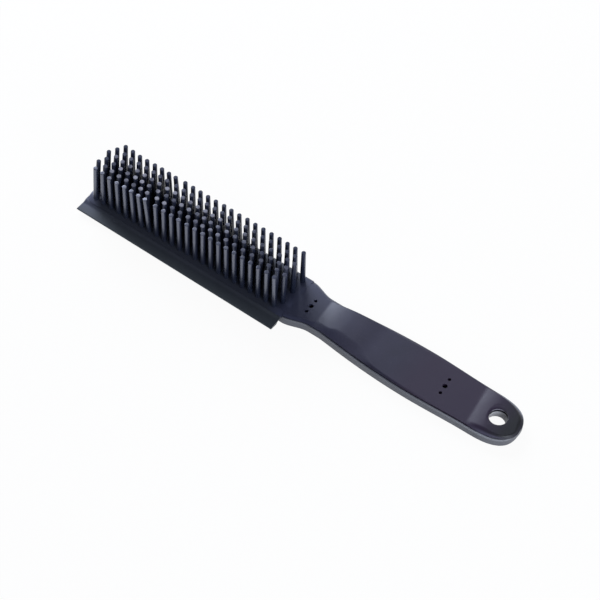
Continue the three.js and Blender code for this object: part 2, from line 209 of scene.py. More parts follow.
# Fineness of the meshes
SHARP_ANGLE = 38.0
TINE_SHARP_ANGLE = 50.0
WELD_DISTANCE = 1e-7
CORNER_STEPS = 8
FOOT_STEPS = 6
ROUND_STEPS = 5
MOUTH_STEPS = 8
HOLE_SIDES = 72
SHELL_HOLE_SIDES = 64
PIN_SIDES = 32
TINE_SIDES = 18
TINE_RINGS = 8
TINE_TIP_STEPS = 4
LIP_FILLET_STEPS = 7
LIP_FACE_STEPS = 9
LIP_NOSE_STEPS = 6
ACROSS_STEPS = 60

# Mesh steps along the shell (head, neck, grip, tail) and the upper rubber, and where its sections start
SHELL_HEAD_START = 8.0
SHELL_NECK_START = RIM_START + 0.8
SHELL_HEAD_STEPS = 14
SHELL_NECK_STEPS = 20
SHELL_GRIP_STEPS = 70
SHELL_TAIL_STEPS = 36
PAD_END_STATIONS = [1.7, 2.0, 2.5, 3.0, 3.8, 4.5]
PAD_START = 5.5
COVER_NECK_START = HEAD_LENGTH + 0.6
COVER_TAIL_START = TAIL_CREASE + 0.4
PAD_STEPS = 30
COVER_NECK_STEPS = 24
COVER_RISE_STEPS = 24
COVER_GRIP_STEPS = 80
COVER_CREASE_STEPS = 3
COVER_TAIL_STEPS = 44
LIP_STEPS = 40
LIP_NECK_STEPS = 6

# The photograph's camera: azimuth from the near side, elevation, roll, place in millimetres, lens
CAMERA_AZIMUTH = 34.785
CAMERA_ELEVATION = 52.668
CAMERA_ROLL = 2.0
CAMERA_PLACE = (416.789, -602.310, 966.920)
CAMERA_LENS = 144.0
CAMERA_SENSOR = 36.0


def at(station, y, z):
    """A point of the brush, in metres, from its station, side and height in millimetres."""
    return Vector(((station - OVERALL_LENGTH / 2) * MM, y * MM, z * MM))


def make_camera():
    data = bpy.data.cameras.new("camera")
    data.sensor_width = CAMERA_SENSOR
    data.lens = CAMERA_LENS
    camera = bpy.data.objects.new("camera", data)
    bpy.context.collection.objects.link(camera)
    azimuth = math.radians(CAMERA_AZIMUTH)
    elevation = math.radians(CAMERA_ELEVATION)
    level = math.cos(elevation)
    back = Vector((math.sin(azimuth) * level, -math.cos(azimuth) * level, math.sin(elevation)))
    turn = back.to_track_quat("Z", "Y").to_matrix().to_4x4()
    roll = Matrix.Rotation(math.radians(CAMERA_ROLL), 4, "Z")
    camera.matrix_world = Matrix.Translation(Vector(CAMERA_PLACE) * MM) @ turn @ roll
    bpy.context.scene.camera = camera


make_camera()


# Curves along and across the brush

def clamp(value):
    return max(0.0, min(1.0, value))


def mix(a, b, share):
    return a + (b - a) * share


def smooth(share):
    u = clamp(share)
    return u * u * (3 - 2 * u)


def soft_rise(share, ease):
    """Starts level, steepens over the first part and eases out to level again."""
    u = clamp(share)
    rest = 1 - CREASE_SOFT
    scale = 1 / (rest ** (ease - 1) * (rest + ease * CREASE_SOFT / 2))
    if u < CREASE_SOFT:
        return scale * ease * rest ** (ease - 1) / (2 * CREASE_SOFT) * u * u
    return 1 - scale * (1 - u) ** ease


def tail_share(station, inset):
    return clamp((station - TAIL_START) / (TAIL_ROUND - inset + TAIL_TIP))


def tail_end(station, inset):
    """Share of the way to the end of the tail, growing quickly."""
    return clamp((station - TAIL_END_START) / (OVERALL_LENGTH - inset - TAIL_END_START)) ** 2


def half_width(station, inset):
    if station <= WAIST_END:
        return mix(HEAD_HALF, WAIST_HALF, smooth((station - HEAD_LENGTH) / NECK_LENGTH)) - inset
    if station <= GRIP_STATION:
        share = ((station - WAIST_END) / WAIST_TO_GRIP) ** SWELL_POWER
        return mix(WAIST_HALF, GRIP_HALF, smooth(share)) - inset
    share = (station - GRIP_STATION) / (TAIL_START - GRIP_STATION)
    side = mix(GRIP_HALF, TAIL_HALF, smooth(share)) - inset
    return side * (1 - tail_share(station, inset) ** TAIL_POWER) ** (1 / TAIL_POWER)


def grip_top(station, y=0.0):
    """Height of the upper rubber: up at the crease, down along the grip, and up and down again at the tail."""
    rise = GRIP_RISE * soft_rise((station - CREASE - CREASE_SKEW * y) / GRIP_RISE_LENGTH, GRIP_EASE)
    along = clamp((station - FALL_START) / (TAIL_CREASE - FALL_START))
    eased = along * along * (1 + FALL_ONSET) / (along + FALL_ONSET)
    dip = DIP_DEPTH * smooth((station - DIP_START) / DIP_LENGTH)
    fall = GRIP_FALL * (1 - (1 - eased) ** FALL_POWER) + dip
    tail_share_up = (station - TAIL_CREASE - TAIL_CREASE_SKEW * y) / TAIL_RISE_LENGTH
    tail_rise = TAIL_RISE * soft_rise(tail_share_up, TAIL_EASE)
    tail_along = clamp((station - TAIL_FALL_START) / (OVERALL_LENGTH - TAIL_FALL_START))
    return PAD_TOP + rise - fall + tail_rise - TAIL_FALL * tail_along ** TAIL_FALL_POWER


def from_table(table, station):
    for (start, first), (end, second) in zip(table, table[1:]):
        if station <= end:
            return mix(first, second, smooth((station - start) / (end - start)))
    return table[-1][1]


def spread(start, end, steps):
    return [start + (end - start) * i / steps for i in range(steps)]


def tail_stations(inset, steps):
    reach = TAIL_ROUND - inset
    return [TAIL_START + reach * math.sin(math.pi / 2 * (i + 1) / steps) for i in range(steps)]


def arc(radius, start, end, steps):
    """Points (along, up) on an arc about the origin, angles in degrees."""
    angles = [math.radians(mix(start, end, i / steps)) for i in range(steps + 1)]
    return [(radius * math.cos(angle), radius * math.sin(angle)) for angle in angles]


def foot_round(radius):
    """Points (in, up) of a rounded foot, from its flat underside out to its upright side."""
    angles = [math.pi / 2 * i / FOOT_STEPS for i in range(FOOT_STEPS + 1)]
    return [(radius - radius * math.sin(angle), radius - radius * math.cos(angle)) for angle in angles]


# Mesh helpers

def piece_from(name, bm, material, angle=SHARP_ANGLE):
    """A finished object from a mesh under construction, smooth but for its sharp edges."""
    bmesh.ops.remove_doubles(bm, verts=bm.verts, dist=WELD_DISTANCE)
    bmesh.ops.recalc_face_normals(bm, faces=bm.faces)
    mesh = bpy.data.meshes.new(name)
    bm.to_mesh(mesh)
    bm.free()
    obj = bpy.data.objects.new(name, mesh)
    bpy.context.collection.objects.link(obj)
    finish_shading(obj, angle)
    if material:
        mesh.materials.append(material)
    return obj


def finish_shading(obj, angle):
    mesh = obj.data
    for polygon in mesh.polygons:
        polygon.use_smooth = True
    mesh.set_sharp_from_angle(angle=math.radians(angle))


def add_loops(bm, loops):
    """Faces between closed loops of equal length; returns the loops' vertices."""
    rows = [[bm.verts.new(point) for point in loop] for loop in loops]
    for low, high in zip(rows, rows[1:]):
        join_rows(bm, low, high)
    return rows


def join_rows(bm, low, high):
    count = len(low)
    for i in range(count):
        j = (i + 1) % count
        bm.faces.new((low[i], low[j], high[j], high[i]))


def cap_ends(bm, rows):
    bm.faces.new(rows[0])
    bm.faces.new(rows[-1])


def add_turned(bm, profile, station, y, sides, closed_profile=False, lean=(0.0, 0.0)):
    """A turned shape about an upright axis, from (radius, height) pairs.

    With a lean, the foot of the axis lies that far from its place at the shell's rim.
    """
    loops = []
    for radius, height in profile:
        low = 1 - height / SHELL_HEIGHT
        ring = []
        for i in range(sides):
            angle = math.tau * i / sides
            ring.append(at(station + lean[0] * low + radius * math.cos(angle),
                           y + lean[1] * low + radius * math.sin(angle), height))
        loops.append(ring)
    rows = add_loops(bm, loops)
    if closed_profile:
        join_rows(bm, rows[-1], rows[0])
    else:
        cap_ends(bm, rows)


def cut(target, bm):
    """Cuts a shape under construction out of a finished piece."""
    cutter = piece_from("cutter", bm, None)
    modifier = target.modifiers.new("cut", "BOOLEAN")
    modifier.operation = "DIFFERENCE"
    modifier.solver = "EXACT"
    modifier.object = cutter
    graph = bpy.context.evaluated_depsgraph_get()
    mesh = bpy.data.meshes.new_from_object(target.evaluated_get(graph))
    target.modifiers.clear()
    old = target.data
    target.data = mesh
    mesh.name = target.name
    bpy.data.meshes.remove(old)
    bpy.data.objects.remove(cutter)
    finish_shading(target, SHARP_ANGLE)


# Materials

# Sockets of the colour mix node that share their names with others
MIX_FIRST = 6
MIX_SECOND = 7
MIX_RESULT = 2

# Noise: scale per metre, detail and roughness
MOTTLING = (70.0, 4.0, 0.6)
SPECKS = (1500.0, 2.0, 0.6)
SHEEN_PATCHES = (38.0, 5.0, 0.55)
FINE_GRAIN = (1900.0, 3.0, 0.6)
BROAD_GRAIN = (160.0, 3.0, 0.5)
TIP_PATCHES = (210.0, 1.0, 0.5)
PAPER_FIBRE = (300.0, 3.0, 0.5)

# Ranges of the noise that are used, and what comes of them; depths of grain are in metres
MOTTLING_RANGE = (0.3, 0.72)
SPECK_RANGE = (0.66, 0.82)
MOST_DUST = 0.35
SHEEN_RANGE = (0.3, 0.7)
TIP_PATCH_RANGE = (0.36, 0.62)
LEAST_TIP_PATCH = 0.25
FINE_GRAIN_DEPTH = 0.00004
BROAD_GRAIN_DEPTH = 0.0001
BROAD_GRAIN_STRENGTH = 0.25

# How the painted highlight on the tine tips and the sheen change along the tines: axis, value before, value
# after, start and end in millimetres
TIP_BAND = 0.2
TIP_SHEEN = 0.3
# Shares of the painted highlight on the tips: painted shade on the far rows, and less of it on the near row, at
# the free end and towards the neck
TIP_HIGHLIGHT_SHARES = (("Y", 1.0, 0.14, 2.5, 7.5), ("Y", 0.4, 1.0, -10.0, -7.5),
            ("X", 0.05, 1.0, -126.0, -114.0), ("X", 1.0, 0.25, -92.0, -30.0))
FOOT_SHEEN = ("Z", 0.42, 1.0, 6.0, 17.0)
BACK_ROW_SHEEN = ("Y", 1.0, 0.5, -9.2, -8.2)
FREE_END_SHEEN = ("X", 0.12, 0.5, -90.0, -55.0)

# Places along the brush between which the painted light of a rim goes over to its share at the end
RIM_END = (122.0, 128.0)


class Nodes:
    """Small helper that adds and links the shader nodes of a new material."""

    def __init__(self, name):
        self.material = bpy.data.materials.new(name)
        self.material.use_nodes = True
        self.tree = self.material.node_tree
        self.tree.nodes.clear()
        self.output = self.add("ShaderNodeOutputMaterial")
        self.where = self.add("ShaderNodeTexCoord").outputs["Object"]
        self.parts = None

    def add(self, kind, **values):
        node = self.tree.nodes.new(kind)
        for key, value in values.items():
            setattr(node, key, value)
        return node

    def link(self, source, target):
        self.tree.links.new(source, target)

    def axis(self, name):
        """One coordinate of the place on the object."""
        if not self.parts:
            self.parts = self.add("ShaderNodeSeparateXYZ")
            self.link(self.where, self.parts.inputs[0])
        return self.parts.outputs[name]

    def noise(self, scale, detail, roughness):
        node = self.add("ShaderNodeTexNoise")
        self.link(self.where, node.inputs["Vector"])
        node.inputs["Scale"].default_value = scale
        node.inputs["Detail"].default_value = detail
        node.inputs["Roughness"].default_value = roughness
        return node.outputs["Fac"]

    def ramp(self, source, places, colours):
        node = self.add("ShaderNodeValToRGB")
        self.link(source, node.inputs["Fac"])
        for element, place, colour in zip(node.color_ramp.elements, places, colours):
            element.position = place
            element.color = colour
        return node.outputs["Color"]

    def mixed(self, factor, colour, other):
        """A colour with a share of another, fixed colour mixed in."""
        node = self.add("ShaderNodeMix", data_type="RGBA", blend_type="MIX")
        self.link(factor, node.inputs["Factor"])
        self.link(colour, node.inputs[MIX_FIRST])
        node.inputs[MIX_SECOND].default_value = other
        return node.outputs[MIX_RESULT]

    def between(self, source, low, high, start=0.0, end=1.0):
        """Goes from low to high while the source goes from start to end."""
        node = self.add("ShaderNodeMapRange")
        self.link(source, node.inputs["Value"])
        node.inputs["From Min"].default_value = start
        node.inputs["From Max"].default_value = end
        node.inputs["To Min"].default_value = low
        node.inputs["To Max"].default_value = high
        return node.outputs["Result"]

    def along(self, axis, low, high, start, end):
        """Goes from low to high between two places on an axis, in millimetres."""
        return self.between(self.axis(axis), low, high, start * MM, end * MM)

    def product(self, first, *others):
        for other in others:
            node = self.add("ShaderNodeMath", operation="MULTIPLY")
            self.link(first, node.inputs[0])
            self.link(other, node.inputs[1])
            first = node.outputs[0]
        return first

    def bump(self, height, strength, distance, under=None):
        node = self.add("ShaderNodeBump")
        node.inputs["Strength"].default_value = strength
        node.inputs["Distance"].default_value = distance
        self.link(height, node.inputs["Height"])
        if under:
            self.link(under, node.inputs["Normal"])
        return node.outputs["Normal"]


def linear(red, green, blue):
    """A colour written as 0 to 255 values, in linear light."""
    def one(value):
        share = value / 255
        return share / 12.92 if share <= 0.04045 else ((share + 0.055) / 1.055) ** 2.4
    return (one(red), one(green), one(blue), 1.0)


def with_painted_tip_highlights(nodes, colour, shader, specular, height, pale):
    """Painted highlight on the tips: paler and patchy above a height, with less of it on the far rows, the near
    row, the free end and towards the neck; the tines' feet and the rows behind the near one shine less.
    """
    at_tip = nodes.along("Z", 0.0, 1.0, height - TIP_BAND, height)
    behind = nodes.along(*BACK_ROW_SHEEN)
    nodes.link(nodes.along(*FREE_END_SHEEN), behind.node.inputs["To Max"])
    shine = nodes.product(nodes.between(at_tip, specular, TIP_SHEEN), nodes.along(*FOOT_SHEEN), behind)
    nodes.link(shine, shader.inputs["Specular IOR Level"])
    patchy = nodes.between(nodes.noise(*TIP_PATCHES), LEAST_TIP_PATCH, 1.0, *TIP_PATCH_RANGE)
    shares = [nodes.along(*highlight_share) for highlight_share in TIP_HIGHLIGHT_SHARES]
    return nodes.mixed(nodes.product(at_tip, patchy, *shares), colour, pale)


def with_painted_light_band(nodes, colour, rim, heights, places, before, at_end, most):
    """Painted light and shade: another colour that comes in between two heights and between two places along
    the brush.
    """
    share = nodes.product(nodes.along("Z", 0.0, most, *heights), nodes.along("X", before, 1.0, *places),
                          nodes.along("X", 1.0, at_end, *RIM_END))
    return nodes.mixed(share, colour, rim)


def with_painted_arch_highlight(nodes, colour, pale, middle, radii, way, reach, heights):
    """A painted highlight on the wall of a hole: a paler part near its axis, to one side of it and below a
    height.
    """
    level = nodes.add("ShaderNodeCombineXYZ")
    nodes.link(nodes.axis("X"), level.inputs["X"])
    nodes.link(nodes.axis("Y"), level.inputs["Y"])
    from_axis = nodes.add("ShaderNodeVectorMath", operation="SUBTRACT")
    nodes.link(level.outputs["Vector"], from_axis.inputs[0])
    from_axis.inputs[1].default_value = (middle * MM, 0.0, 0.0)
    distance = nodes.add("ShaderNodeVectorMath", operation="LENGTH")
    nodes.link(from_axis.outputs["Vector"], distance.inputs[0])
    aside = nodes.add("ShaderNodeVectorMath", operation="DOT_PRODUCT")
    nodes.link(from_axis.outputs["Vector"], aside.inputs[0])
    aside.inputs[1].default_value = way
    inside = nodes.between(distance.outputs["Value"], 1.0, 0.0, radii[0] * MM, radii[1] * MM)
    far = nodes.between(aside.outputs["Value"], 0.0, 1.0, reach[0] * MM, reach[1] * MM)
    below = nodes.along("Z", 1.0, 0.0, *heights)
    return nodes.mixed(nodes.product(inside, far, below), colour, pale)


def moulded_rubber(name, dark, light, dust, rough, specular, grain,
                   fades=(), tip=None, rim=None, arch=None, tint=(0.9, 0.93, 1.0, 1.0), ior=1.5):
    """Satin moulded rubber: a fine mould grain, slow mottling, uneven sheen and a little dust, with painted
    light and shade from the tips, rims, arches and most fades.

    A fade is an axis, two places on it in millimetres and the colour that goes over into the rubber's own
    between them.
    """
    nodes = Nodes(name)
    shader = nodes.add("ShaderNodeBsdfPrincipled")
    colour = nodes.ramp(nodes.noise(*MOTTLING), MOTTLING_RANGE, (dark, light))
    dusty = nodes.between(nodes.noise(*SPECKS), 0.0, MOST_DUST, *SPECK_RANGE)
    colour = nodes.mixed(dusty, colour, dust)
    for axis, start, end, other in fades:
        colour = nodes.mixed(nodes.along(axis, 1.0, 0.0, start, end), colour, other)
    if tip:
        colour = with_painted_tip_highlights(nodes, colour, shader, specular, **tip)
    if rim:
        colour = with_painted_light_band(nodes, colour, **rim)
    if arch:
        colour = with_painted_arch_highlight(nodes, colour, **arch)
    nodes.link(colour, shader.inputs["Base Color"])
    uneven = nodes.between(nodes.noise(*SHEEN_PATCHES), *rough, *SHEEN_RANGE)
    nodes.link(uneven, shader.inputs["Roughness"])
    shader.inputs["Specular IOR Level"].default_value = specular
    shader.inputs["Specular Tint"].default_value = tint
    shader.inputs["IOR"].default_value = ior
    under = nodes.bump(nodes.noise(*BROAD_GRAIN), BROAD_GRAIN_STRENGTH, BROAD_GRAIN_DEPTH)
    fine = nodes.bump(nodes.noise(*FINE_GRAIN), grain, FINE_GRAIN_DEPTH, under)
    nodes.link(fine, shader.inputs["Normal"])
    nodes.link(shader.outputs["BSDF"], nodes.output.inputs["Surface"])
    return nodes.material


TOP_RUBBER = moulded_rubber(
    "top_rubber", dark=linear(37, 35, 53), light=linear(45, 43, 63), dust=linear(92, 92, 104),
    rough=(0.46, 0.56), specular=0.42, grain=0.5,
    # painted light: lighter and bluer on the neck; painted shade: darker on the pad among the tines
    fades=(("X", -6.0, 34.0, linear(53, 57, 80)), ("X", -13.0, -4.0, linear(34, 38, 51)),
           # painted light at the free end of the pad; the second fade is a more purple tone along the grip
           ("X", -130.0, -120.0, linear(92, 96, 118)), ("X", 74.0, 58.0, linear(42, 32, 53)),
           # painted shade: darker on the end of the tail
           ("X", 126.0, 114.0, linear(31, 32, 36))),
    # painted highlight on the cover's edge wall towards the tail, less of it at the very end
    rim=dict(rim=linear(80, 78, 98), heights=(6.35, 5.7), places=(108.0, 116.0),
             before=0.0, at_end=0.2, most=0.8),
    # painted highlight on the far wall of the hanging hole's mouth
    arch=dict(pale=linear(124, 122, 138), middle=HOLE_STATION - OVERALL_LENGTH / 2, radii=(5.1, 5.4),
              way=(-0.57, 0.82, 0.0), reach=(3.4, 4.4), heights=(6.65, 6.8)))
TINE_RUBBER = moulded_rubber(
    "tine_rubber", dark=linear(35, 40, 56), light=linear(45, 50, 70), dust=linear(96, 98, 110),
    rough=(0.24, 0.32), specular=1.0, grain=0.3,
    # painted shade: darker towards the tines' feet, where they shade each other
    fades=(("Z", 8.0, 26.0, linear(25, 30, 46)),),
    # painted highlight on the tine tips
    tip=dict(height=28.75, pale=linear(148, 148, 160)), tint=(0.78, 0.83, 1.0, 1.0), ior=1.77)
LIP_RUBBER = moulded_rubber(
    "lip_rubber", dark=linear(41, 45, 56), light=linear(48, 52, 64), dust=linear(84, 85, 94),
    rough=(0.42, 0.52), specular=0.42, grain=0.4,
    # painted light: lighter at the free end and towards the lip's edge
    fades=(("X", -131.0, -118.0, linear(84, 88, 108)), ("Y", -21.0, -14.0, linear(66, 72, 78))),
    # painted light: lighter towards the neck end of the lip
    rim=dict(rim=linear(58, 63, 71), heights=(-5.0, -4.0), places=(-27.0, -7.0),
             before=0.0, at_end=1.0, most=0.8))
SHELL_RUBBER = moulded_rubber(
    "shell_rubber", dark=linear(82, 84, 92), light=linear(96, 98, 107), dust=linear(136, 137, 144),
    rough=(0.42, 0.54), specular=0.5, grain=0.6,
    # painted highlight along the upper edge of the shell, strongest towards the tail
    rim=dict(rim=linear(148, 150, 158), heights=(SHELL_HEIGHT - 1.3, SHELL_HEIGHT), places=(68.0, 112.0),
             before=0.25, at_end=1.0, most=0.8))
LINER_RUBBER = moulded_rubber(
    "liner_rubber", dark=linear(112, 113, 118), light=linear(128, 129, 134), dust=linear(160, 160, 164),
    rough=(0.42, 0.54), specular=0.5, grain=0.6,
    # painted light: paler on the half of the hole's wall towards the free end
    fades=(("X", 114.5, 121.0, linear(206, 206, 212)),),
    # painted shade: dark on the liner's upper lip, under the cover
    rim=dict(rim=linear(26, 26, 34), heights=(SHELL_HEIGHT - 0.35, SHELL_HEIGHT - 0.1), places=(0.0, 1.0),
             before=1.0, at_end=1.0, most=1.0))
CORE_PLASTIC = moulded_rubber(
    "core_plastic", dark=linear(60, 60, 64), light=linear(84, 85, 88), dust=linear(120, 120, 122),
    rough=(0.5, 0.65), specular=0.5, grain=0.5)


# Back shell: stacked outlines, so that the foot and the rim are rounded all the way round

def side_line(inset):
    """One side of the plan outline, from the free end to the tail, as (station, half width)."""
    half = HEAD_HALF - inset
    points = []
    for i in range(CORNER_STEPS + 1):
        angle = math.pi / 2 * (1 - i / CORNER_STEPS)
        along = inset + HEAD_CORNER * (1 - math.sin(angle))
        points.append((along, half - HEAD_CORNER * (1 - math.cos(angle))))
    stations = spread(SHELL_HEAD_START, HEAD_LENGTH, SHELL_HEAD_STEPS)
    stations += [HEAD_LENGTH, RIM_START - STEP_HALF, RIM_START + STEP_HALF]
    stations += spread(SHELL_NECK_START, WAIST_END, SHELL_NECK_STEPS)
    stations += spread(WAIST_END, TAIL_START, SHELL_GRIP_STEPS) + [TAIL_START]
    stations += tail_stations(inset, SHELL_TAIL_STEPS)
    return points + [(station, half_width(station, inset)) for station in stations]


def shell_loop(inset, height):
    """The whole outline at one height; under the head the rim is left out."""
    side = side_line(inset)
    loop = [(station, -half) for station, half in side]
    loop += [(station, half) for station, half in side[::-1]]
    on_head = min(height, SHELF_HEIGHT)
    return [at(station, y, height if station > RIM_START else on_head) for station, y in loop]


def ladder(bm, loop):
    """Fills an outline with strips across it."""
    count = len(loop)
    for i in range(count // 2 - 1):
        bm.faces.new((loop[i], loop[i + 1], loop[count - 2 - i], loop[count - 1 - i]))


def make_shell():
    section = foot_round(FOOT_ROUND) + [(0.0, height) for height in SHELL_WALL_HEIGHTS]
    top = SHELL_HEIGHT - LIP_ROUND
    section += [(LIP_ROUND - along, top + up) for along, up in arc(LIP_ROUND, 0, 90, ROUND_STEPS)]
    inner = RIM_WIDTH - LIP_ROUND
    section += [(inner - along, top + up) for along, up in arc(LIP_ROUND, 90, 180, ROUND_STEPS)]
    section += [(RIM_WIDTH, SHELF_HEIGHT)]
    bm = bmesh.new()
    rows = add_loops(bm, [shell_loop(inset, height) for inset, height in section])
    ladder(bm, rows[0])
    ladder(bm, rows[-1])
    shell = piece_from("back_shell_skin", bm, SHELL_RUBBER)
    cutter = bmesh.new()
    profile = [(SHELL_HOLE_RADIUS, height) for height in SHELL_HOLE_HEIGHTS]
    add_turned(cutter, profile, HOLE_STATION, 0.0, SHELL_HOLE_SIDES, lean=HOLE_LEAN)
    cut(shell, cutter)
    return shell


def make_liner():
    """The tube of the hanging hole, rounded at the back and at its upper lip."""
    profile = [(HOLE_RADIUS + along, LINER_LIFT + up) for along, up in foot_round(LINER_FOOT_ROUND)]
    profile += [(HOLE_RADIUS, LINER_MIDDLE)]
    top = SHELL_HEIGHT - LIP_ROUND
    for radius, start, end in ((HOLE_RADIUS + LIP_ROUND, 180, 90), (LINER_RADIUS - LIP_ROUND, 90, 0)):
        profile += [(radius + along, top + up) for along, up in arc(LIP_ROUND, start, end, ROUND_STEPS)]
    profile += [(LINER_RADIUS, LINER_LIFT)]
    bm = bmesh.new()
    add_turned(bm, profile, HOLE_STATION, 0.0, HOLE_SIDES, closed_profile=True, lean=HOLE_LEAN)
    return piece_from("hole_liner", bm, LINER_RUBBER)


# Upper rubber: pad and grip cover as one skin

def flank_drop(out, half, width):
    """Share of the way down the flank: none on the flat top, all of it at the edge."""
    inside = 1 - width / half
    return clamp((out - inside) / (1 - inside)) ** FLANK_POWER


def corner_inset(station, radius):
    """How far a rounded corner at the free end draws the side in."""
    return radius * (1 - math.sqrt(1 - clamp((radius - station) / radius) ** 2))


def upper_ring(station):
    """The section of the upper rubber at a station, from the far edge over the top and down the near side."""
    on_head = station < COVER_START
    inset = 0.0 if on_head else COVER_INSET
    half = half_width(station, inset)
    widest = half_width(min(station, TAIL_START), inset)
    near_half = half - corner_inset(station, PAD_NEAR_CORNER)
    half -= corner_inset(station, HEAD_CORNER)
    end_drop = corner_inset(station, END_ROUND)
    tail = tail_share(station, inset) ** TAIL_POWER
    end_out = TAIL_COVER_OUT * tail_end(station, inset)
    near_place = station + end_out * (1 + TAIL_OUT_SKEW)
    far_place = station + end_out * (1 - TAIL_OUT_SKEW)
    points = []
    edges = {}
    for i in range(ACROSS_STEPS + 1):
        share = math.cos(math.pi * i / ACROSS_STEPS)
        out = (tail + abs(share) ** TAIL_POWER * (1 - tail)) ** (1 / TAIL_POWER)
        near = share < 0
        side = (near_half if near else half) * share
        top = grip_top(station, side) - end_drop
        width = mix(from_table(FLANKS, station), FAR_FLANK, smooth(share + 0.5))
        edge = from_table(COVER_EDGES, station)
        if on_head:
            width = PAD_SLOPE_WIDTH if near else PAD_FAR_SLOPE_WIDTH
            edge = PAD_SLOPE_FOOT if near else PAD_EDGE
        edge = min(edge, top - EDGE_BELOW_TOP)
        edges[near] = edge
        crown = 0.0 if on_head else TOP_CROWN * out * out
        place = mix(near_place, far_place, (share + 1) / 2)
        points.append(at(place, side, mix(top - crown, edge, flank_drop(out, widest, width))))
    seated = smooth((station - TAIL_SEAT[0]) / (TAIL_SEAT[1] - TAIL_SEAT[0]))
    low = mix(COVER_BOTTOM, SHELL_HEIGHT + TAIL_SEAT_GAP, seated)
    sides = [at(near_place, -near_half, mix(edges[True], low, 0.5)), at(near_place, -near_half, low),
             at(far_place, half, low), at(far_place, half, mix(edges[False], low, 0.5))]
    return points + sides


def make_upper():
    rise_end = CREASE + GRIP_RISE_LENGTH
    stations = [END_ROUND * (1 - math.cos(math.pi / 2 * i / ROUND_STEPS)) for i in range(ROUND_STEPS + 1)]
    stations += PAD_END_STATIONS + spread(PAD_START, HEAD_LENGTH, PAD_STEPS)
    stations += [COVER_START - STEP_HALF, COVER_START + STEP_HALF]
    stations += spread(COVER_NECK_START, CREASE, COVER_NECK_STEPS)
    stations += spread(CREASE, rise_end, COVER_RISE_STEPS)
    stations += spread(rise_end, TAIL_CREASE, COVER_GRIP_STEPS) + [TAIL_CREASE]
    stations += spread(COVER_TAIL_START, TAIL_START, COVER_CREASE_STEPS) + [TAIL_START]
    stations += tail_stations(COVER_INSET, COVER_TAIL_STEPS)
    bm = bmesh.new()
    cap_ends(bm, add_loops(bm, [upper_ring(station) for station in stations]))
    upper = piece_from("upper_rubber", bm, TOP_RUBBER)
    cut_hanging_hole(upper)
    for station, spacing in PIN_GROUPS:
        for y, radius in ((0.0, PIN_RADIUS), (spacing, PIN_SIDE_RADIUS), (-spacing, PIN_SIDE_RADIUS)):
            cutter = bmesh.new()
            skew = TAIL_PIN_SKEW * y if station > GRIP_STATION else 0.0
            profile = ((radius, CUTTER_FOOT), (radius, CUTTER_TOP))
            add_turned(cutter, profile, station + skew, y, PIN_SIDES)
            cut(upper, cutter)
    return upper


def cut_hanging_hole(upper):
    """Cuts room for the liner, a groove over its lip and a dished mouth."""
    top = grip_top(HOLE_STATION)
    room = LINER_RADIUS + FIT_GAP
    groove = SHELL_HEIGHT + HOLE_GROOVE
    wide = HOLE_MOUTH_RADIUS - HOLE_RADIUS
    ease_out, ease_up = HOLE_MOUTH_EASE
    profile = [(room, CUTTER_FOOT), (room, groove), (HOLE_RADIUS, groove)]
    profile += [(HOLE_MOUTH_RADIUS + along * wide, top - HOLE_MOUTH_DEPTH + up * HOLE_MOUTH_DEPTH)
                for along, up in arc(1.0, 180, 90, MOUTH_STEPS)]
    profile += [(HOLE_MOUTH_RADIUS + ease_out, top + ease_up), (HOLE_MOUTH_RADIUS + ease_out, CUTTER_TOP)]
    cutter = bmesh.new()
    add_turned(cutter, profile, HOLE_STATION, 0.0, HOLE_SIDES)
    cut(upper, cutter)


# Tines

def tine_lean(row, column):
    """Lean along the brush in degrees, with a parting near the free end and a slow wave after it."""
    parting = PARTING_COLUMNS[row]
    if column > parting:
        wave = max(0.0, column - WAVE_START) / WAVE_COLUMNS
        return -WAVE_LEANS[row] * math.sin(math.tau * wave)
    return ROW_LEANS[row] - PARTING_LEANS[row] * (column / parting) ** 3


def tine_side_lean(column):
    return FREE_END_SIDE_LEAN * max(0.0, 1 - column / FREE_END_COLUMNS)


def tine_profile():
    """Height and radius up one tine: a long taper and a flat tip with a small round."""
    rows = [(-TINE_SINK, TINE_BASE_RADIUS)]
    shaft_top = TINE_HEIGHT - TINE_TIP_ROUND
    for i in range(TINE_RINGS + 1):
        height = mix(TINE_FIRST_RING, shaft_top, i / TINE_RINGS)
        rows.append((height, mix(TINE_BASE_RADIUS, TINE_TIP_RADIUS, height / shaft_top)))
    core = TINE_TIP_RADIUS - TINE_TIP_ROUND
    for along, up in arc(TINE_TIP_ROUND, TINE_TIP_START, 90, TINE_TIP_STEPS):
        rows.append((shaft_top + up, core + along))
    rows.append((TINE_HEIGHT, core * 0.5))
    return rows


def add_tine(bm, station, y, lean, side_lean, turn):
    """One tine that leans and bends; the angles are in radians."""
    loops = []
    for height, radius in tine_profile():
        share = max(0.0, height / TINE_HEIGHT)
        bend = (1 - TINE_BEND) * share + TINE_BEND * share * share
        x_middle = station + TINE_HEIGHT * math.sin(lean) * bend
        y_middle = y + TINE_HEIGHT * math.sin(side_lean) * bend
        z_middle = PAD_TOP + height * math.cos(lean)
        ring = []
        for i in range(TINE_SIDES):
            angle = turn + math.tau * i / TINE_SIDES
            dx = radius * math.cos(angle)
            dy = radius * math.sin(angle)
            dz = -(dx * math.sin(lean) + dy * math.sin(side_lean)) * min(1.0, share * 2)
            ring.append(at(x_middle + dx, y_middle + dy, z_middle + dz))
        loops.append(ring)
    cap_ends(bm, add_loops(bm, loops))


